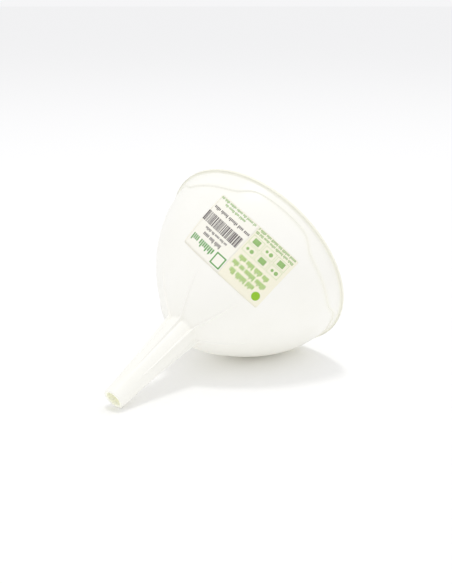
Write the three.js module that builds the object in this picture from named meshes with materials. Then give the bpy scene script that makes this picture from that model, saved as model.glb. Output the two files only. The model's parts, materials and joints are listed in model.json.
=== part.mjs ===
// A household funnel moulded in one shot from bioplastic, with a printed paper label.
//
// Millimetres, +Z up. The funnel is first built standing on its stem tip, with its axis along +Z,
// and is then laid on its side: it rests on the edge of its stem tip and on the bulge of its bowl.
// Angles go round the axis from the side that faces the floor.

import * as THREE from 'three';

// Overall size
const TOTAL_LENGTH = 124;
const RIM_RADIUS = 60;
const SEAM = 0.3; // gap between neighbouring solids

// Stem, a tapered tube
const STEM_LENGTH = 56;
const STEM_TIP_RADIUS = 6;
const STEM_TOP_RADIUS = 9.3;
const BORE_TIP_RADIUS = 4.3;
const BORE_TOP_RADIUS = 7.8;

// Bowl, a bell of even wall: steep where it leaves the stem, parallel to the axis at the mouth
const WALL = 1.4;
const BOWL_START = STEM_LENGTH + SEAM;
const MOUTH_WALL_RADIUS = 57.6;
const FLARE_ANGLE = THREE.MathUtils.degToRad(62.5);
const FLARE_PULL = 25; // how far the wall holds its direction as it leaves the stem
const MOUTH_PULL = 25; // and as it comes to the mouth
const BOWL_ROWS = 13;

// Ledge, a small outward step of the wall just below the mouth, whose line waves round the bowl
const LEDGE_STEP = 0.8;
const LEDGE_DEPTH = 9; // mean distance below the mouth
const LEDGE_SWING = 3;
const LEDGE_WAVES = 4;
const LEDGE_START = THREE.MathUtils.degToRad(-4.5); // where one of its deepest stretches is centred
const LEDGE_SQUARENESS = 3; // 0 is a plain sine, large values are nearly square
const LEDGE_RISE = 0.5; // length of the step along the axis

// Lip, the flat flange round the mouth
const LIP_HEIGHT = 1.5;
const LIP_ROUND = 0.4;
const LIP_START = TOTAL_LENGTH - LIP_HEIGHT;
const WALL_END = LIP_START - SEAM;

// Vent ribs, which hold the funnel clear of a bottle's neck so that air can leave it
const RIB_COUNT = 7;
const FIRST_RIB_ANGLE = THREE.MathUtils.degToRad(-10.3);
const RIB_BASE_WIDTH = 1.6;
const RIB_CREST_WIDTH = 0.8;
const RIB_STEM_START = 13;
const RIB_STEM_HEIGHT = 1.8; // at the top of the stem
const RIB_BOWL_HEIGHT = 0.8; // at the start of the bowl
const RIB_END_HEIGHT = 0.45; // at both faded ends
const RIB_BOWL_SHARE = 0.3; // of the bowl's curve that a rib runs along
const RIB_STEPS = 7;

// Paper label, a rectangle bent round the bowl
const LABEL_WIDTH = 56;
const LABEL_HEIGHT = 33;
const LABEL_THICKNESS = 0.2;
const LABEL_ANGLE = THREE.MathUtils.degToRad(216);
const LABEL_CENTRE_SHARE = 0.58; // of the bowl's curve, from the stem to the mouth
const LABEL_TURN = THREE.MathUtils.degToRad(-4); // turned in its own plane, away from square
const LABEL_COLUMNS = 18;
const LABEL_ROWS = 8;

// Round bodies are faceted, with the middle of one facet facing the floor
const FACETS = 56;
const FACET_ANGLE = (2 * Math.PI) / FACETS;

const ivoryPlastic = { color: 0xf7f5ee, roughness: 0.42, metalness: 0 };
const labelPaper = { color: 0xf4efdf, roughness: 0.8, metalness: 0 };

// Profiles are drawn in the half plane of the axis: x is the radius, y the height above the stem tip.
const at = (radius, height) => new THREE.Vector2(radius, height);

const bowlCurve = new THREE.CubicBezierCurve(
  at(STEM_TOP_RADIUS, BOWL_START),
  at(STEM_TOP_RADIUS + FLARE_PULL * Math.sin(FLARE_ANGLE), BOWL_START + FLARE_PULL * Math.cos(FLARE_ANGLE)),
  at(MOUTH_WALL_RADIUS, WALL_END - MOUTH_PULL),
  at(MOUTH_WALL_RADIUS, WALL_END),
);
bowlCurve.arcLengthDivisions = 800;

// A point of the bowl's outer surface moved outwards, square to the wall.
function bowlPoint(share, outwards = 0) {
  const along = bowlCurve.getTangentAt(share);
  const point = bowlCurve.getPointAt(share);
  return at(point.x + outwards * along.y, point.y - outwards * along.x);
}

// The share of the bowl's curve at which its outer surface reaches a height.
function bowlShareAt(height) {
  let low = 0;
  let high = 1;
  for (let halving = 0; halving < 30; halving += 1) {
    const middle = (low + high) / 2;
    if (bowlCurve.getPointAt(middle).y < height) low = middle;
    else high = middle;
  }
  return low;
}

// Height of the ledge above the stem tip at an angle round the axis.
function ledgeHeight(angle) {
  const phase = LEDGE_WAVES * (angle - LEDGE_START);
  const wave = Math.tanh(LEDGE_SQUARENESS * Math.cos(phase)) / Math.tanh(LEDGE_SQUARENESS);
  return TOTAL_LENGTH - LEDGE_DEPTH - LEDGE_SWING * wave;
}

// A closed body through sections that all have the same even number of points. The first half of a
// section runs along one side and the second half comes back along the other. A ring has no ends,
// and any other body gets a cap over its first and last section.
function loft(sections, isRing) {
  const size = sections[0].length;
  const positions = sections.flat().flatMap((point) => point.toArray());
  const triangles = [];
  const quad = (a, b, c, d) => triangles.push(a, b, c, a, c, d);
  const spans = isRing ? sections.length : sections.length - 1;
  for (let span = 0; span < spans; span += 1) {
    const here = span * size;
    const next = ((span + 1) % sections.length) * size;
    for (let i = 0; i < size; i += 1) {
      const j = (i + 1) % size;
      quad(here + i, next + i, next + j, here + j);
    }
  }
  if (!isRing) {
    const last = (sections.length - 1) * size;
    for (let i = 0; i < size / 2 - 1; i += 1) {
      const mate = size - 1 - i;
      quad(i, i + 1, mate - 1, mate);
      quad(last + mate, last + mate - 1, last + i + 1, last + i);
    }
  }
  const geometry = new THREE.BufferGeometry();
  geometry.setAttribute('position', new THREE.Float32BufferAttribute(positions, 3));
  geometry.setIndex(triangles);
  geometry.computeVertexNormals();
  return geometry;
}

// A body round the axis, whose closed profile may change with the angle.
function revolve(profileAt) {
  const sections = [];
  for (let facet = 0; facet < FACETS; facet += 1) {
    const angle = (facet + 0.5) * FACET_ANGLE;
    sections.push(profileAt(angle).map((point) => place(point, angle)));
  }
  return loft(sections, true);
}

// A profile point turned to its angle round the axis.
function place(point, angle, sideways = 0) {
  const axis = new THREE.Vector3(0, 0, 1);
  return new THREE.Vector3(point.x, sideways, point.y).applyAxisAngle(axis, angle);
}

function mesh(name, geometry, look) {
  const body = new THREE.Mesh(geometry, new THREE.MeshStandardMaterial(look));
  body.name = name;
  return body;
}

// The tapered tube, open at both ends.
function stemGeometry() {
  return revolve(() => [
    at(STEM_TIP_RADIUS, 0),
    at(STEM_TOP_RADIUS, STEM_LENGTH),
    at(BORE_TOP_RADIUS, STEM_LENGTH),
    at(BORE_TIP_RADIUS, 0),
  ]);
}

// One side of the bowl's wall at an angle, from the stem up to the lip, with the ledge in it.
function bowlSide(angle, outwards) {
  const ledge = ledgeHeight(angle);
  const foot = bowlShareAt(ledge);
  const top = bowlShareAt(ledge + LEDGE_RISE);
  const side = [];
  for (let row = 0; row <= BOWL_ROWS; row += 1) {
    side.push(bowlPoint((foot * row) / BOWL_ROWS, outwards));
  }
  side.push(bowlPoint(top, outwards + LEDGE_STEP));
  side.push(at(MOUTH_WALL_RADIUS + LEDGE_STEP + outwards, WALL_END));
  return side;
}

// The bell-shaped wall, open at the stem and at the mouth.
function bowlGeometry() {
  return revolve((angle) => {
    const outside = bowlSide(angle, 0);
    const inside = bowlSide(angle, -WALL);
    inside[0] = at(BORE_TOP_RADIUS, BOWL_START);
    return [...outside, ...inside.reverse()];
  });
}

// The flange round the mouth, with its outer edges rounded off.
function lipGeometry() {
  const inner = MOUTH_WALL_RADIUS + LEDGE_STEP - WALL;
  return revolve(() => [
    at(RIM_RADIUS - LIP_ROUND, LIP_START),
    at(RIM_RADIUS, LIP_START + LIP_ROUND),
    at(RIM_RADIUS, TOTAL_LENGTH - LIP_ROUND),
    at(RIM_RADIUS - LIP_ROUND, TOTAL_LENGTH),
    at(inner, TOTAL_LENGTH),
    at(inner, LIP_START),
  ]);
}

// Where a line beside the stem, as high above it as a line beside the bowl is above that, meets it.
function cornerPoint(stemHeight, bowlHeight) {
  const stemSlope = (STEM_TOP_RADIUS - STEM_TIP_RADIUS) / STEM_LENGTH;
  const bowlSlope = Math.tan(FLARE_ANGLE);
  const bowlRadius = STEM_TOP_RADIUS + bowlHeight / Math.cos(FLARE_ANGLE);
  const stemRadius = STEM_TOP_RADIUS + stemHeight;
  const rise = (stemRadius - bowlRadius) / (bowlSlope - stemSlope);
  return at(stemRadius + stemSlope * rise, BOWL_START + rise);
}

// A line beside the stem and the bowl, whose height above them goes from one value to the next.
function wallLine(startHeight, stemHeight, bowlHeight, endHeight) {
  const { lerp } = THREE.MathUtils;
  const line = [];
  for (let step = 0; step < RIB_STEPS; step += 1) {
    const part = step / RIB_STEPS;
    const height = lerp(RIB_STEM_START, STEM_LENGTH, part);
    const radius = lerp(STEM_TIP_RADIUS, STEM_TOP_RADIUS, height / STEM_LENGTH);
    line.push(at(radius + lerp(startHeight, stemHeight, part), height));
  }
  line.push(cornerPoint(stemHeight, bowlHeight));
  for (let step = 1; step <= RIB_STEPS; step += 1) {
    const part = step / RIB_STEPS;
    line.push(bowlPoint(RIB_BOWL_SHARE * part, lerp(bowlHeight, endHeight, part)));
  }
  return line;
}

// A low fin with sloping flanks that climbs the stem and fades out on the bowl.
function ribGeometry(angle) {
  const base = wallLine(SEAM, SEAM, SEAM, SEAM);
  const crest = wallLine(RIB_END_HEIGHT, RIB_STEM_HEIGHT, RIB_BOWL_HEIGHT, RIB_END_HEIGHT);
  const sections = base.map((basePoint, i) => [
    place(basePoint, angle, -RIB_BASE_WIDTH / 2),
    place(basePoint, angle, RIB_BASE_WIDTH / 2),
    place(crest[i], angle, RIB_CREST_WIDTH / 2),
    place(crest[i], angle, -RIB_CREST_WIDTH / 2),
  ]);
  return loft(sections, false);
}

// A point of the flat label bent round the bowl. Across goes round the bowl and up goes towards the
// mouth. The sheet is unrolled from the cone that touches the bowl under the label's centre, and
// keeps its lengths up the bowl and round it.
function labelPoint(across, up, outwards) {
  const centre = bowlCurve.getPointAt(LABEL_CENTRE_SHARE);
  const slant = centre.x / bowlCurve.getTangentAt(LABEL_CENTRE_SHARE).x;
  const flat = at(across, up).rotateAround(at(0, 0), LABEL_TURN).add(at(0, slant));
  const share = LABEL_CENTRE_SHARE + (flat.length() - slant) / bowlCurve.getLength();
  const arc = Math.atan2(flat.x, flat.y) * flat.length();
  const angle = LABEL_ANGLE + arc / bowlCurve.getPointAt(share).x;
  return place(bowlPoint(share, outwards), angle);
}

// The thin sheet of paper stuck to the bowl.
function labelGeometry() {
  const sections = [];
  for (let column = 0; column <= LABEL_COLUMNS; column += 1) {
    const across = LABEL_WIDTH * (column / LABEL_COLUMNS - 0.5);
    const under = [];
    const over = [];
    for (let row = 0; row <= LABEL_ROWS; row += 1) {
      const up = LABEL_HEIGHT * (row / LABEL_ROWS - 0.5);
      under.push(labelPoint(across, up, SEAM));
      over.push(labelPoint(across, up, SEAM + LABEL_THICKNESS));
    }
    sections.push([...over, ...under.reverse()]);
  }
  return loft(sections, false);
}

// The angle between the axis and the floor when the stem tip and the bowl's bulge both touch it.
function restTilt() {
  const flatShare = Math.cos(FACET_ANGLE / 2);
  const slopes = bowlSide(0, 0).map((point) => ((point.x - STEM_TIP_RADIUS) * flatShare) / point.y);
  return Math.atan(Math.max(...slopes));
}

// The funnel standing on its stem tip.
function standingFunnel() {
  const funnel = new THREE.Group();
  funnel.add(mesh('stem', stemGeometry(), ivoryPlastic));
  funnel.add(mesh('bowl', bowlGeometry(), ivoryPlastic));
  funnel.add(mesh('rim_lip', lipGeometry(), ivoryPlastic));
  for (let rib = 0; rib < RIB_COUNT; rib += 1) {
    const angle = FIRST_RIB_ANGLE + (rib * 2 * Math.PI) / RIB_COUNT;
    funnel.add(mesh(`vent_rib_${rib + 1}`, ribGeometry(angle), ivoryPlastic));
  }
  funnel.add(mesh('paper_label', labelGeometry(), labelPaper));
  return funnel;
}

// Laid down with its mouth towards +X, and its box's bottom centre at the origin.
function layDown(funnel) {
  const lying = new THREE.Group();
  funnel.rotation.y = Math.PI / 2 - restTilt();
  lying.add(funnel);
  const box = new THREE.Box3().setFromObject(lying, true);
  const centre = box.getCenter(new THREE.Vector3());
  funnel.position.set(-centre.x, -centre.y, -box.min.z);
  return lying;
}

export default layDown(standingFunnel());
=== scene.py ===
"""The looks of a household funnel lying on its side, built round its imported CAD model.

The funnel's bowl, stem, lip and ribs are one moulding, so one smooth mesh stands for all of those
CAD nodes. The printed paper label is a bent sheet with thin layers of ink on it.

Shapes are worked out in millimetres in the funnel's own space, where z climbs the axis from the stem
tip and angles go round the axis from the side that faces the floor. in_frame() brings them into the
CAD frame, in metres.
"""

import json
import math
import random

import bmesh
import bpy
import numpy as np
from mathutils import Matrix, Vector


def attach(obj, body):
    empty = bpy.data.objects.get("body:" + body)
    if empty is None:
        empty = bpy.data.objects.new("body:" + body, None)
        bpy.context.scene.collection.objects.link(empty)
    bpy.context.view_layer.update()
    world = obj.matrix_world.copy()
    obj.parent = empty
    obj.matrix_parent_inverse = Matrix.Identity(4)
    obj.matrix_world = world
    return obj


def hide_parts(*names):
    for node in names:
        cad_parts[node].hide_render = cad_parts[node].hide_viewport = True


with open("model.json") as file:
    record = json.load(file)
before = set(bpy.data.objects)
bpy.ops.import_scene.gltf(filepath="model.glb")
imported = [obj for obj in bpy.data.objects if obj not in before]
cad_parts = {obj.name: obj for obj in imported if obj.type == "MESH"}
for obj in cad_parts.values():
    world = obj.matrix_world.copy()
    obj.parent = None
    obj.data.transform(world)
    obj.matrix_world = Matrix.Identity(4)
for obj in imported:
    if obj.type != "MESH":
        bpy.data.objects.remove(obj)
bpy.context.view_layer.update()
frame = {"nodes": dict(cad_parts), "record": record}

MM = 0.001

# Stem
STEM_LENGTH = 56
STEM_TIP_RADIUS = 6
STEM_TOP_RADIUS = 9.3
BORE_TIP_RADIUS = 4.3
BORE_TOP_RADIUS = 7.8
TIP_ROUND = 0.35
GLOW_LENGTH = 30  # the bore's inside gets a painted glow this far from the tip, for light through the wall

# Bowl
WALL = 1.4
BOWL_START = 56.3
BOWL_END = 122.2
MOUTH_WALL_RADIUS = 57.6
FLARE_ANGLE = math.radians(62.5)
FLARE_PULL = 25
MOUTH_PULL = 25
NECK_FILLET = 1.1
THROAT_FILLET = 1.8

# Ledge below the mouth
LEDGE_STEP = 0.8
LEDGE_RISE = 0.6
LEDGE_HEIGHT = 115
LEDGE_SWING = 3
LEDGE_WAVES = 4
LEDGE_START = math.radians(-4.5)
LEDGE_SQUARENESS = 3
LEDGE_SHADE_SHARE = 0.45  # share of the lip's painted crease shade, a deeper ivory, that the ledge step gets
LEDGE_BLEND = 0.85  # which fades out over about this height
LEDGE_MARGIN = 0.5  # fine rows go this far past both sides of the step

# Lip
LIP_START = 122.5
TOTAL_LENGTH = 124
RIM_RADIUS = 60
LIP_ROUND = 0.4
LIP_BLEND = 0.9  # its painted shade, a deeper ivory, starts this far below it
LIP_FILLET = 1.3  # where the wall bends out into the lip
BAND_MARGIN = 1.5 * LIP_FILLET  # the rows under the lip stop this far below its root

# Vent ribs
RIB_COUNT = 7
FIRST_RIB_ANGLE = math.radians(-10.3)
RIB_START = 13  # height on the stem
RIB_REACH = 29  # length on the bowl
RIB_STEM_HEIGHT = 1.8
RIB_BOWL_HEIGHT = 1.0
RIB_TIP_HALF_WIDTH = 0.3
RIB_HALF_WIDTH = 0.5
RIB_STEEPNESS = 6
RIB_TURN_BELOW = 1.5  # the crest's bend starts this far below the bowl
RIB_TURN_BEYOND = 3  # and ends this far along it

# Label
LABEL_WIDTH = 56
LABEL_HEIGHT = 33
LABEL_CORNER = 1.0
LABEL_ANGLE = math.radians(216)
LABEL_CENTRE_SHARE = 0.58
LABEL_TURN = math.radians(-4)
PAPER_UNDER = 0.02
PAPER_OVER = 0.14
PANEL_OVER = 0.16
INK_OVER = 0.19

# Print, in millimetres. Boxes are left, top, right and bottom, from the label's top left corner.
PRINT_OVERLAP = 0.02  # layers of print reach this far into what they lie on
PANEL = (27.6, 0.3, 55.6, 32.7)
SLOGAN_LINES = ((8.4, 4.7, 24.5, 7.9), (3.9, 8.8, 26.2, 11.9), (5.3, 12.8, 25.0, 15.9))
SLOGAN_STROKE = 0.95
SLOGAN_SPOT = (4.6, 4.6, 2.4)  # centre right, centre down, radius
SMALL_LINES = (
    (1.4, 29.0, 27.2, 30.5),
    (1.4, 31.1, 27.2, 32.6),
    (35.2, 28.8, 50.2, 30.3),
    (29.4, 30.9, 55.6, 32.4),
)
SMALL_STROKE = 0.6
HEADING_LINE = (37.0, 3.9, 54.2, 7.9)
HEADING_STROKE = 1.35
HEADING_FRAME = (28.6, 1.6, 35.2, 8.6)
HEADING_FRAME_LINE = 0.7
DARK_LINES = (  # each with its stroke
    ((35.8, 9.5, 48.8, 11.8), 0.85),
    ((34.0, 13.1, 50.2, 14.6), 0.65),
    ((28.6, 24.4, 54.6, 26.3), 0.9),
)
CELL_ROWS = 2
CELL_COLUMNS = 3
CELL_START = (2.1, 17.9)
CELL_STEP = (8.5, 5.4)
CELL_SIZE = (7.7, 4.8)
CELL_LINE = 0.22
CELL_SQUARE = (1.8, 0.9, 5.9, 3.9)  # from the cell's own corner, as the spots are
CELL_SPOTS = ((2.6, 2.4, 1.1), (5.3, 2.4, 0.8))
BARS = (29.4, 16.0, 55.2, 22.2)
BAR_WIDTHS = (0.27, 0.27, 0.54, 0.81)
BAR_GAPS = (0.27, 0.27, 0.54)
STROKE_SHARE = 0.62  # width of a stroke, of the room it has
SHORT_STROKE_TOP = 0.3  # share of the line's height above a short stroke
TALL_STROKE_CHANCE = 0.35
WORD_GAP = 0.8  # between words, in strokes
WORD_STROKES = (3, 8)
PRINT_SEED = 7

# Studio
FLOOR_RADIUS = 100  # metres
FLOOR_CORNERS = 96
CAMERA_AIM = (10.9, -7.4, 45.7)  # millimetres
CAMERA_AZIMUTH = -48.58
CAMERA_ELEVATION = 17.55
CAMERA_DISTANCE = 0.5018
CAMERA_LENS = 56.04
KEY_AZIMUTH = 235
KEY_ELEVATION = 90
KEY_DISTANCE = 2.1
KEY_SIZE = 0.35
KEY_POWER = 7
KEY_COLOUR = (1.0, 0.99, 0.97)
SKY_COLOUR = (0.99, 0.99, 1.0, 1)
SKY_STRENGTH = 0.93
DIFFUSE_BOUNCES = 12

# Fineness
SLOPE_REACH = 0.1  # a slope is measured this far to both sides of a place
PATH_POINTS = 2001
WALL_ROWS = 46
LEDGE_ROWS = 16
BAND_ROWS = 6
ROUND_ROWS = 5
STEM_ROWS = 30
NECK_ROWS = 7
FILLET_ROWS = 9
LIP_FACE_ROWS = 2
LIP_FRONT_ROWS = 4
THROAT_ROWS = 8
BORE_ROWS = 24
RIB_LINE_POINTS = 60
RIB_BEND_POINTS = 12
MERIDIAN_ANGLES = 1440
FILL_COLUMNS = 12
RIB_COLUMNS = (0, 0.15, 0.28, 0.38, 0.46, 0.54, 0.62, 0.72, 0.86, 1.1, 1.6)
PATCH_CELL = 1.2  # longest side of a cell of the label's surfaces


# ---------------------------------------------------------------- lines in the half plane of the axis


def corner(before, peak, after, rows):
    """A rounded corner, from one point to another round the peak that the straight lines would reach."""
    t = np.linspace(0, 1, rows)[:, None]
    before, peak, after = (np.asarray(point, float) for point in (before, peak, after))
    return (1 - t) ** 2 * before + 2 * t * (1 - t) * peak + t**2 * after


def straight(start, end, rows):
    """Points between two points, without the two themselves."""
    t = np.linspace(0, 1, rows + 2)[1:-1, None]
    return (1 - t) * np.asarray(start, float) + t * np.asarray(end, float)


class Path:
    """A line of (radius, height) points. A place on it is the length from its start."""

    def __init__(self, points):
        self.points = np.asarray(points, float)
        steps = np.linalg.norm(np.diff(self.points, axis=0), axis=1)
        self.places = np.concatenate([[0], np.cumsum(steps)])
        self.length = self.places[-1]

    def point(self, place):
        radius = np.interp(place, self.places, self.points[:, 0])
        height = np.interp(place, self.places, self.points[:, 1])
        return np.stack([radius, height], axis=-1)

    def beside(self, place, outwards):
        """A point square to the line, on its outer side where outwards is positive."""
        along = self.point(np.add(place, SLOPE_REACH)) - self.point(np.subtract(place, SLOPE_REACH))
        along /= np.linalg.norm(along, axis=-1, keepdims=True)
        normal = np.stack([along[..., 1], -along[..., 0]], axis=-1)
        return self.point(place) + normal * np.asarray(outwards)[..., None]

    def place_at_height(self, height):
        return np.interp(height, self.points[:, 1], self.places)


def bowl_curve():
    """The bowl's outer surface: a cubic curve from the stem's direction of flare to the mouth's."""
    start = np.array([STEM_TOP_RADIUS, BOWL_START])
    end = np.array([MOUTH_WALL_RADIUS, BOWL_END])
    leaves = start + FLARE_PULL * np.array([math.sin(FLARE_ANGLE), math.cos(FLARE_ANGLE)])
    arrives = end - np.array([0, MOUTH_PULL])
    t = np.linspace(0, 1, PATH_POINTS)[:, None]
    return Path(
        (1 - t) ** 3 * start
        + 3 * t * (1 - t) ** 2 * leaves
        + 3 * t**2 * (1 - t) * arrives
        + t**3 * end
    )


bowl = bowl_curve()


def stem_at(height):
    """A point of the stem's outer surface."""
    return (np.interp(height, [0, STEM_LENGTH], [STEM_TIP_RADIUS, STEM_TOP_RADIUS]), height)


def bore_at(height):
    """A point of the stem's inner surface."""
    return (np.interp(height, [0, STEM_LENGTH], [BORE_TIP_RADIUS, BORE_TOP_RADIUS]), height)


def ledge_height(angle):
    """Height of the ledge above the stem tip, which waves round the bowl."""
    wave = np.tanh(LEDGE_SQUARENESS * np.cos(LEDGE_WAVES * (angle - LEDGE_START)))
    return LEDGE_HEIGHT - LEDGE_SWING * wave / math.tanh(LEDGE_SQUARENESS)


def ease(share):
    """From 0 to 1 with no sudden start or stop."""
    share = np.clip(share, 0, 1)
    return share * share * (3 - 2 * share)


# ---------------------------------------------------------------------------------- the moulding


def bowl_rows(angle, outwards):
    """One side of the bowl's wall at an angle, from the neck up to the lip, with the ledge in it."""
    foot = bowl.place_at_height(ledge_height(angle))
    fine_start = foot - LEDGE_MARGIN
    fine_end = foot + LEDGE_RISE + LEDGE_MARGIN
    places = np.concatenate([
        np.linspace(THROAT_FILLET, fine_start, WALL_ROWS),
        np.linspace(fine_start, fine_end, LEDGE_ROWS)[1:],
        np.linspace(fine_end, bowl.length - BAND_MARGIN, BAND_ROWS)[1:],
        [bowl.length],
    ])
    step = LEDGE_STEP * ease((places - foot) / LEDGE_RISE)
    return bowl.beside(places, outwards + step)


def outer_rows(angle):
    """The moulding's outer surface at an angle, from the stem tip to the lip."""
    wall = bowl_rows(angle, 0)
    neck = (STEM_TOP_RADIUS, BOWL_START)
    wall_top = wall[-1] - (0, LIP_FILLET)
    lip_root = (wall[-1, 0], LIP_START)
    lip_under = (wall[-1, 0] + LIP_FILLET, LIP_START)
    return np.concatenate([
        corner((STEM_TIP_RADIUS - TIP_ROUND, 0), (STEM_TIP_RADIUS, 0), stem_at(TIP_ROUND), ROUND_ROWS),
        straight(stem_at(TIP_ROUND), stem_at(BOWL_START - NECK_FILLET), STEM_ROWS),
        corner(stem_at(BOWL_START - NECK_FILLET), neck, bowl.point(NECK_FILLET), NECK_ROWS),
        wall[:-1],
        corner(wall_top, lip_root, lip_under, FILLET_ROWS),
    ])


def lip_rows(outer_radius, inner_radius):
    """The lip's underside, its outer face and its front."""
    underside = (RIM_RADIUS - LIP_ROUND, LIP_START)
    outer_low = (RIM_RADIUS, LIP_START + LIP_ROUND)
    outer_high = (RIM_RADIUS, TOTAL_LENGTH - LIP_ROUND)
    front_out = (RIM_RADIUS - LIP_ROUND, TOTAL_LENGTH)
    front_in = (inner_radius + LIP_ROUND, TOTAL_LENGTH)
    inside = (inner_radius, TOTAL_LENGTH - LIP_ROUND)
    return np.concatenate([
        straight((outer_radius, LIP_START), underside, LIP_FACE_ROWS),
        corner(underside, (RIM_RADIUS, LIP_START), outer_low, ROUND_ROWS),
        straight(outer_low, outer_high, LIP_FACE_ROWS),
        corner(outer_high, (RIM_RADIUS, TOTAL_LENGTH), front_out, ROUND_ROWS),
        straight(front_out, front_in, LIP_FRONT_ROWS),
        corner(front_in, (inner_radius, TOTAL_LENGTH), inside, ROUND_ROWS),
    ])


def inner_rows(angle):
    """The moulding's inner surface at an angle, from the mouth down to the end of the bore."""
    wall = bowl_rows(angle, -WALL)[::-1]
    throat_height = wall[-1, 1] - (wall[-1, 0] - BORE_TOP_RADIUS) / math.tan(FLARE_ANGLE)
    throat = bore_at(throat_height)
    bore_top = bore_at(throat_height - THROAT_FILLET)
    bore_end = bore_at(TIP_ROUND)
    return np.concatenate([
        wall,
        corner(wall[-1], throat, bore_top, THROAT_ROWS)[1:],
        straight(bore_top, bore_end, BORE_ROWS),
        corner(bore_end, (BORE_TIP_RADIUS, 0), (BORE_TIP_RADIUS + TIP_ROUND, 0), ROUND_ROWS),
    ])


def inside_stem(points):
    """How near the tip a point inside the stem is: 1 at the tip, 0 far up and on other surfaces. It masks
    the painted glow in the bore.
    """
    radius = np.hypot(points[..., 0], points[..., 1])
    height = points[..., 2]
    middle_of_wall = (bore_at(height)[0] + stem_at(height)[0]) / 2
    return np.where(radius < middle_of_wall, ease(1 - height / GLOW_LENGTH), 0)


def thickness(points):
    """Painted shade in the creases, as a deeper ivory: from 0 on the walls to 1 on the lip, with a share of
    it along the ledge step.
    """
    angle = np.arctan2(points[..., 1], points[..., 0])
    height = points[..., 2]
    on_lip = ease((height - LIP_START + LIP_BLEND) / LIP_BLEND)
    from_ledge = (height - ledge_height(angle) - LEDGE_RISE / 2) / LEDGE_BLEND
    return np.maximum(on_lip, LEDGE_SHADE_SHARE * np.exp(-(from_ledge**2)))


def rib_lines():
    """The line under a rib, along the stem and the bowl, and the line along its crest."""
    stem_heights = np.linspace(RIB_START, BOWL_START - RIB_TURN_BELOW, RIB_LINE_POINTS)
    stem_share = (stem_heights - RIB_START) / (BOWL_START - RIB_START)
    places = np.linspace(RIB_TURN_BEYOND, RIB_REACH, RIB_LINE_POINTS)
    bowl_share = 1 - places / RIB_REACH
    stem = np.stack(stem_at(stem_heights), axis=-1)
    neck = (STEM_TOP_RADIUS, BOWL_START)
    neck_crest = (STEM_TOP_RADIUS + RIB_STEM_HEIGHT, BOWL_START)
    fillet_start = stem_at(BOWL_START - NECK_FILLET)
    under_bend = corner(fillet_start, neck, bowl.point(NECK_FILLET), RIB_BEND_POINTS)
    stem_crest = stem + np.stack([RIB_STEM_HEIGHT * stem_share, 0 * stem_share], axis=-1)
    bowl_crest = bowl.beside(places, RIB_BOWL_HEIGHT * np.sqrt(bowl_share))
    crest_bend = corner(stem_crest[-1], neck_crest, bowl_crest[0], RIB_BEND_POINTS)
    under = Path(np.concatenate([stem, under_bend, bowl.point(places)]))
    crest = Path(np.concatenate([stem_crest, crest_bend[1:-1], bowl_crest]))
    return under, crest


rib_under, rib_crest = rib_lines()


def rib_lift(height):
    """How far a rib's crest stands off the surface at a height, as a step in radius and height."""
    share = rib_under.place_at_height(height) / rib_under.length
    return rib_crest.point(share * rib_crest.length) - rib_under.point(share * rib_under.length)


def rib_fullness(aside, height):
    """A rib's cross-section: 1 on its crest, falling to 0 beside it."""
    half_width = np.interp(height, [RIB_START, BOWL_START], [RIB_TIP_HALF_WIDTH, RIB_HALF_WIDTH])
    return 1 / (1 + (np.abs(aside) / half_width) ** RIB_STEEPNESS)


def column_angles(radius):
    """The angles of a row's points, and how far each lies from the rib beside it: close together
    across each rib, whatever the radius, and evenly spread between the ribs."""
    half_sector = math.pi / RIB_COUNT
    near = np.array(RIB_COLUMNS) / radius
    half = np.concatenate([near, np.linspace(near[-1], half_sector, FILL_COLUMNS + 1)[1:]])
    offsets = np.concatenate([-half[:0:-1], half[:-1]])
    sectors = FIRST_RIB_ANGLE + np.arange(RIB_COUNT) * 2 * half_sector
    angles = (sectors[:, None] + offsets).ravel()
    return angles, np.tile(offsets, RIB_COUNT)


def moulding_points():
    """The moulding's points in the funnel's space: rows go round its section, columns round its axis."""
    grid = np.linspace(0, 2 * math.pi, MERIDIAN_ANGLES, endpoint=False)
    outside = np.stack([outer_rows(angle) for angle in grid], axis=1)
    inside = np.stack([inner_rows(angle) for angle in grid], axis=1)
    lip = lip_rows(outside[-1, 0, 0], inside[0, 0, 0])
    lip = np.repeat(lip[:, None], MERIDIAN_ANGLES, axis=1)
    rows = []
    for number, line in enumerate(np.concatenate([outside, lip, inside])):
        angles, offsets = column_angles(line[:, 0].mean())
        radius = np.interp(angles, grid, line[:, 0], period=2 * math.pi)
        height = np.interp(angles, grid, line[:, 1], period=2 * math.pi)
        if number < len(outside):
            lift = rib_lift(height) * rib_fullness(offsets * radius, height)[:, None]
            radius = radius + lift[:, 0]
            height = height + lift[:, 1]
        rows.append(np.stack([radius * np.cos(angles), radius * np.sin(angles), height], axis=-1))
    return np.array(rows)


# ------------------------------------------------------------------------------------- meshes


def mount_named(name):
    return next(mount for mount in frame["record"]["mounts"] if mount["name"] == name)


AXIS = Vector(mount_named("rim_face")["axis"]).normalized()
SIDE = Vector((0, 1, 0))
FLOOR_SIDE = SIDE.cross(AXIS)
TIP_FACE_MIDDLE = MM * (STEM_TIP_RADIUS + BORE_TIP_RADIUS) / 2
STEM_TIP = Vector(mount_named("stem_tip_face")["pos_m"]) + TIP_FACE_MIDDLE * FLOOR_SIDE


def in_frame(points):
    """Points of the funnel's space, in millimetres, in the CAD frame and in metres."""
    turn = np.array([FLOOR_SIDE, SIDE, AXIS])
    return np.asarray(points).reshape(-1, 3) @ turn * MM + np.array(STEM_TIP)


def add_piece(name, points, faces, material):
    """A smooth mesh that rides on the funnel's one body."""
    mesh = bpy.data.meshes.new(name)
    mesh.from_pydata(in_frame(points).tolist(), [], faces)
    shape = bmesh.new()
    shape.from_mesh(mesh)
    bmesh.ops.recalc_face_normals(shape, faces=shape.faces)
    shape.to_mesh(mesh)
    shape.free()
    mesh.shade_smooth()
    mesh.materials.append(material)
    piece = bpy.data.objects.new(name, mesh)
    bpy.context.scene.collection.objects.link(piece)
    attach(piece, "root")
    return piece


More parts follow.
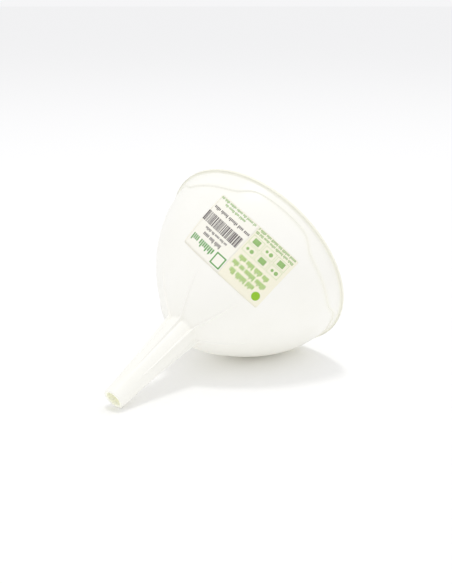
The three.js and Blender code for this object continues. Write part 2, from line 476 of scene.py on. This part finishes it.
def ring_faces(rows, columns):
    """The faces of a grid that closes on itself both ways."""
    faces = []
    for row in range(rows):
        here = row * columns
        above = (row + 1) % rows * columns
        for column in range(columns):
            beside = (column + 1) % columns
            faces.append((here + column, here + beside, above + beside, above + column))
    return faces


def build_moulding(material):
    points = moulding_points()
    rows, columns = points.shape[:2]
    piece = add_piece("funnel_moulding", points, ring_faces(rows, columns), material)
    # masks for the painted glow in the bore and the painted crease shade at the lip and ledge
    for measure in (inside_stem, thickness):
        values = piece.data.attributes.new(measure.__name__, "FLOAT", "POINT")
        values.data.foreach_set("value", measure(points).ravel())
    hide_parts(*(node for node in frame["nodes"] if node != "paper_label"))
    return piece


# -------------------------------------------------------------------------------------- label


def label_point(right, down, over):
    """A point of the label bent round the bowl: right and down from its middle as the print is read,
    and over the bowl's surface."""
    centre_place = LABEL_CENTRE_SHARE * bowl.length
    ahead = bowl.point(centre_place + SLOPE_REACH) - bowl.point(centre_place - SLOPE_REACH)
    slant = bowl.point(centre_place)[0] * np.linalg.norm(ahead) / ahead[0]
    aside = -right * math.cos(LABEL_TURN) - down * math.sin(LABEL_TURN)
    reach = slant - right * math.sin(LABEL_TURN) + down * math.cos(LABEL_TURN)
    distance = np.hypot(aside, reach)
    place = centre_place + distance - slant
    arc = np.arctan2(aside, reach) * distance
    angle = LABEL_ANGLE + arc / bowl.point(place)[..., 0]
    radius, height = np.moveaxis(bowl.beside(place, np.full_like(place, over)), -1, 0)
    return np.stack([radius * np.cos(angle), radius * np.sin(angle), height], axis=-1)


class Sheet:
    """Thin closed slabs on the label, gathered into one mesh. A slab lies between two heights."""

    def __init__(self, under, over):
        self.under = under
        self.over = over
        self.points = []
        self.faces = []

    def add_slab(self, right, down):
        """A slab from a grid of points, given from the label's middle."""
        rows, columns = right.shape
        size = rows * columns
        start = sum(len(block) for block in self.points)
        for height in (self.under, self.over):
            self.points.append(label_point(right, down, height).reshape(-1, 3))
        for row in range(rows - 1):
            for column in range(columns - 1):
                first = start + row * columns + column
                quad = (first, first + 1, first + columns + 1, first + columns)
                self.faces.append(quad)
                self.faces.append(tuple(size + point for point in reversed(quad)))
        edge = list(range(columns))
        edge += [row * columns + columns - 1 for row in range(1, rows)]
        edge += [(rows - 1) * columns + column for column in range(columns - 2, -1, -1)]
        edge += [row * columns for row in range(rows - 2, 0, -1)]
        for here, beside in zip(edge, edge[1:] + edge[:1]):
            self.faces.append((start + here, start + here + size, start + beside + size, start + beside))

    def add_box(self, left, top, right, bottom):
        """A rectangle, measured from the label's top left corner."""
        columns = max(2, math.ceil((right - left) / PATCH_CELL) + 1)
        rows = max(2, math.ceil((bottom - top) / PATCH_CELL) + 1)
        across = np.linspace(left, right, columns) - LABEL_WIDTH / 2
        along = np.linspace(top, bottom, rows) - LABEL_HEIGHT / 2
        self.add_slab(*np.meshgrid(across, along))

    def add_disc(self, centre_right, centre_down, radius):
        """A round spot: a square grid pushed out to a circle."""
        side = np.linspace(-1, 1, 9)
        u, v = np.meshgrid(side, side)
        right = centre_right + radius * u * np.sqrt(1 - v**2 / 2) - LABEL_WIDTH / 2
        down = centre_down + radius * v * np.sqrt(1 - u**2 / 2) - LABEL_HEIGHT / 2
        self.add_slab(right, down)

    def build(self, name, material):
        return add_piece(name, np.concatenate(self.points), self.faces, material)


def build_paper(material):
    """The label's sheet, a rectangle with rounded corners."""
    sheet = Sheet(PAPER_UNDER, PAPER_OVER)
    half_width = LABEL_WIDTH / 2
    straight_part = half_width - LABEL_CORNER
    round_part = LABEL_CORNER * np.sin(np.linspace(0, math.pi / 2, 7))
    middle = np.linspace(-straight_part, straight_part, 47)
    right = np.concatenate([-straight_part - round_part[:0:-1], middle, straight_part + round_part[1:]])
    into_corner = np.clip(np.abs(right) - straight_part, 0, LABEL_CORNER)
    half_height = LABEL_HEIGHT / 2 - LABEL_CORNER + np.sqrt(LABEL_CORNER**2 - into_corner**2)
    down = np.linspace(-1, 1, 29)[:, None] * half_height
    sheet.add_slab(np.broadcast_to(right, down.shape), down)
    piece = sheet.build("label_paper_sheet", material)
    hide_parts("paper_label")
    return piece


def add_words(sheet, dice, left, top, right, bottom, stroke):
    """A line of print that can't be read: words made of small upright strokes, tall and short."""
    at = left
    short_top = top + SHORT_STROKE_TOP * (bottom - top)
    while at < right:
        for _ in range(dice.randint(*WORD_STROKES)):
            if at >= right:
                break
            tall = dice.random() < TALL_STROKE_CHANCE
            end = min(at + STROKE_SHARE * stroke, right)
            sheet.add_box(at, top if tall else short_top, end, bottom)
            at += stroke
        at += WORD_GAP * stroke


def add_frame(sheet, left, top, right, bottom, line):
    """The outline of a rectangle."""
    sheet.add_box(left, top, right, top + line)
    sheet.add_box(left, bottom - line, right, bottom)
    sheet.add_box(left, top + line, left + line, bottom - line)
    sheet.add_box(right - line, top + line, right, bottom - line)


def build_print(inks):
    """The label's print: a white panel, lines of unreadable words, plain signs and a block of bars."""
    dice = random.Random(PRINT_SEED)

    panel = Sheet(PAPER_OVER - PRINT_OVERLAP, PANEL_OVER)
    panel.add_box(*PANEL)
    panel.build("label_white_panel", inks["white"])

    slogan = Sheet(PAPER_OVER - PRINT_OVERLAP, INK_OVER)
    for line in SLOGAN_LINES:
        add_words(slogan, dice, *line, SLOGAN_STROKE)
    slogan.add_disc(*SLOGAN_SPOT)
    slogan.build("label_slogan_lines", inks["lime"])

    cells = Sheet(PAPER_OVER - PRINT_OVERLAP, INK_OVER)
    signs = Sheet(PAPER_OVER - PRINT_OVERLAP, INK_OVER)
    square_left, square_top, square_right, square_bottom = CELL_SQUARE
    for row in range(CELL_ROWS):
        for column in range(CELL_COLUMNS):
            left = CELL_START[0] + CELL_STEP[0] * column
            top = CELL_START[1] + CELL_STEP[1] * row
            add_frame(cells, left, top, left + CELL_SIZE[0], top + CELL_SIZE[1], CELL_LINE)
            if (row + column) % 2:
                signs.add_box(left + square_left, top + square_top, left + square_right, top + square_bottom)
            else:
                for right, down, radius in CELL_SPOTS:
                    signs.add_disc(left + right, top + down, radius)
    cells.build("label_sign_cells", inks["pale_green"])
    signs.build("label_signs", inks["soft_green"])

    small = Sheet(PAPER_OVER - PRINT_OVERLAP, INK_OVER)
    for line in SMALL_LINES:
        add_words(small, dice, *line, SMALL_STROKE)
    small.build("label_small_lines", inks["soft_green"])

    heading = Sheet(PANEL_OVER - PRINT_OVERLAP, INK_OVER)
    add_words(heading, dice, *HEADING_LINE, HEADING_STROKE)
    add_frame(heading, *HEADING_FRAME, HEADING_FRAME_LINE)
    heading.build("label_heading", inks["green"])

    dark = Sheet(PANEL_OVER - PRINT_OVERLAP, INK_OVER)
    for line, stroke in DARK_LINES:
        add_words(dark, dice, *line, stroke)
    dark.build("label_dark_lines", inks["grey"])

    bars = Sheet(PANEL_OVER - PRINT_OVERLAP, INK_OVER)
    at, top, right, bottom = BARS
    while at < right:
        width = dice.choice(BAR_WIDTHS)
        bars.add_box(at, top, at + width, bottom)
        at += width + dice.choice(BAR_GAPS)
    bars.build("label_bars", inks["grey"])


# ---------------------------------------------------------------------------------- materials


def paint(code):
    """A web colour as the linear values that shaders take."""
    levels = [int(code[i : i + 2], 16) / 255 for i in (1, 3, 5)]
    linear = [v / 12.92 if v <= 0.04045 else ((v + 0.055) / 1.055) ** 2.4 for v in levels]
    return (*linear, 1)


class Finish:
    """A material round one Principled shader, with short ways to add its nodes."""

    def __init__(self, name, **sockets):
        self.material = bpy.data.materials.new(name)
        self.material.use_nodes = True
        self.tree = self.material.node_tree
        self.shader = self.tree.nodes["Principled BSDF"]
        self.place = self.add("ShaderNodeTexCoord").outputs["Object"]
        for socket, value in sockets.items():
            self.shader.inputs[socket.replace("_", " ")].default_value = value

    def add(self, kind, inputs=None, **settings):
        node = self.tree.nodes.new(kind)
        for name, value in settings.items():
            setattr(node, name, value)
        for name, value in (inputs or {}).items():
            if isinstance(value, bpy.types.NodeSocket):
                self.tree.links.new(value, node.inputs[name])
            else:
                node.inputs[name].default_value = value
        return node

    def noise(self, size, detail=2.0):
        """A noise whose blots are about the given number of millimetres across."""
        inputs = {"Vector": self.place, "Scale": 1 / (size * MM), "Detail": detail}
        return self.add("ShaderNodeTexNoise", inputs).outputs["Fac"]

    def measure(self, name):
        """A number that the mesh holds for each of its points."""
        return self.add("ShaderNodeAttribute", attribute_name=name).outputs["Fac"]

    def spread(self, value, low, high, start=0.3, end=0.7):
        """Stretches a noise to run from low to high."""
        inputs = {"Value": value, "From Min": start, "From Max": end, "To Min": low, "To Max": high}
        return self.add("ShaderNodeMapRange", inputs).outputs["Result"]

    def blend(self, share, first, second):
        node = self.add("ShaderNodeMix", data_type="RGBA")
        for number, value in ((0, share), (6, first), (7, second)):
            if isinstance(value, bpy.types.NodeSocket):
                self.tree.links.new(value, node.inputs[number])
            else:
                node.inputs[number].default_value = value
        return node.outputs[2]

    def set(self, socket, value):
        self.tree.links.new(value, self.shader.inputs[socket])

    def roughen(self, value, strength, depth):
        """Turns a noise into small bumps, as deep as the given number of millimetres."""
        inputs = {"Height": value, "Strength": strength, "Distance": depth * MM}
        self.set("Normal", self.add("ShaderNodeBump", inputs).outputs["Normal"])


def ivory_plastic():
    """Satin, slightly translucent bioplastic: cloudy ivory with a fine grain, and painted shade in a deeper
    ivory at the lip and along the ledge step.
    The inside of the bore near the stem tip gets a painted glow, a lighter colour and a faint emission,
    standing in for light through the stem's thin wall."""
    finish = Finish(
        "ivory_plastic_look",
        Subsurface_Weight=0.1,
        # emission strength of the painted glow in the bore
        Emission_Strength=0.045,
        Subsurface_Radius=(1.0, 1.0, 1.0),
        Subsurface_Scale=2.5 * MM,
        IOR=1.46,
    )
    clouds = finish.spread(finish.noise(22), 0, 1)
    colour = finish.blend(clouds, paint("#fbfaf4"), paint("#f9f8f1"))
    # painted shade: a deeper ivory in the creases at the lip and along the ledge step
    crease_shaded = finish.blend(finish.measure("thickness"), colour, paint("#f6f5e6"))
    # painted glow inside the stem near the tip: a lighter colour and a faint emission
    inside = finish.measure("inside_stem")
    finish.set("Base Color", finish.blend(inside, crease_shaded, paint("#fefef0")))
    finish.set("Emission Color", finish.blend(inside, paint("#000000"), paint("#fffff0")))
    finish.set("Roughness", finish.spread(finish.noise(4), 0.33, 0.42))
    finish.roughen(finish.noise(0.5, 3), 0.25, 0.02)
    return finish.material


def label_paper():
    """Uncoated cream paper: fine fibres in its colour and its surface."""
    finish = Finish("label_paper_look", Specular_IOR_Level=0.3)
    fibres = finish.spread(finish.noise(0.35, 6), 0, 1)
    finish.set("Base Color", finish.blend(fibres, paint("#faf7e5"), paint("#f5f1db")))
    finish.set("Roughness", finish.spread(finish.noise(0.8), 0.7, 0.85))
    finish.roughen(finish.noise(0.3, 5), 0.3, 0.02)
    return finish.material


def ink(name, code, faded_code):
    """Print on the paper: the colour is slightly uneven, as the paper's fibres take it."""
    finish = Finish(name, Specular_IOR_Level=0.3)
    mottle = finish.spread(finish.noise(0.4, 4), 0, 1)
    finish.set("Base Color", finish.blend(mottle, paint(code), paint(faded_code)))
    finish.set("Roughness", finish.spread(finish.noise(0.7), 0.5, 0.65))
    return finish.material


def pale_floor():
    """Matte studio paper with a faint grain."""
    finish = Finish("studio_floor_look", Specular_IOR_Level=0.0)
    grain = finish.spread(finish.noise(3, 4), 0, 1)
    finish.set("Base Color", finish.blend(grain, paint("#fbfbfb"), paint("#fafafa")))
    finish.set("Roughness", finish.spread(finish.noise(6), 0.9, 1.0))
    return finish.material


# -------------------------------------------------------------------------------------- studio


def build_floor():
    """A round sheet of pale studio paper, far wider than the view."""
    mesh = bpy.data.meshes.new("studio_floor")
    turns = np.linspace(0, 2 * math.pi, FLOOR_CORNERS, endpoint=False)
    points = [(FLOOR_RADIUS * math.cos(turn), FLOOR_RADIUS * math.sin(turn), 0) for turn in turns]
    mesh.from_pydata(points, [], [range(len(points))])
    mesh.materials.append(pale_floor())
    floor = bpy.data.objects.new("studio_floor", mesh)
    bpy.context.scene.collection.objects.link(floor)


def direction(azimuth, elevation):
    """Towards a point of the sky: azimuth 0 is -Y and 90 is +X, elevation is above the floor."""
    azimuth, elevation = math.radians(azimuth), math.radians(elevation)
    level = math.cos(elevation)
    return Vector((math.sin(azimuth) * level, -math.cos(azimuth) * level, math.sin(elevation)))


def build_camera():
    """The camera, above the stem's side and looking down at the funnel."""
    aim = Vector(CAMERA_AIM) * MM
    towards = direction(CAMERA_AZIMUTH, CAMERA_ELEVATION)
    data = bpy.data.cameras.new("camera")
    data.lens = CAMERA_LENS
    camera = bpy.data.objects.new("camera", data)
    camera.location = aim + towards * CAMERA_DISTANCE
    camera.rotation_mode = "QUATERNION"
    camera.rotation_quaternion = (-towards).to_track_quat("-Z", "Y")
    bpy.context.scene.collection.objects.link(camera)
    bpy.context.scene.camera = camera


def build_key_softbox():
    """A square lamp right above the funnel."""
    data = bpy.data.lights.new("key_softbox", "AREA")
    data.size = KEY_SIZE
    data.energy = KEY_POWER
    data.color = KEY_COLOUR
    lamp = bpy.data.objects.new("key_softbox", data)
    towards = direction(KEY_AZIMUTH, KEY_ELEVATION)
    lamp.location = towards * KEY_DISTANCE
    lamp.rotation_mode = "QUATERNION"
    lamp.rotation_quaternion = (-towards).to_track_quat("-Z", "Y")
    bpy.context.scene.collection.objects.link(lamp)


def build_sky():
    """Even pale light from all round the studio."""
    world = bpy.data.worlds.new("studio_sky")
    world.use_nodes = True
    background = world.node_tree.nodes["Background"]
    background.inputs["Color"].default_value = SKY_COLOUR
    background.inputs["Strength"].default_value = SKY_STRENGTH
    bpy.context.scene.world = world


def build_studio():
    """Camera, floor and light. Light passes many times between plastic and floor as white as these."""
    build_camera()
    build_floor()
    build_sky()
    build_key_softbox()
    bpy.context.scene.view_settings.view_transform = "Standard"
    bpy.context.scene.cycles.diffuse_bounces = DIFFUSE_BOUNCES


build_studio()
build_moulding(ivory_plastic())
build_paper(label_paper())
build_print({
    "white": ink("white_ink", "#fbf9f0", "#f8f5e9"),
    "lime": ink("lime_ink", "#8abf22", "#9ccb40"),
    "green": ink("green_ink", "#5aa24c", "#72b066"),
    "soft_green": ink("soft_green_ink", "#8fb96c", "#a3c783"),
    "pale_green": ink("pale_green_ink", "#cfe0b0", "#d8e5bf"),
    "grey": ink("grey_ink", "#635c5e", "#777173"),
})
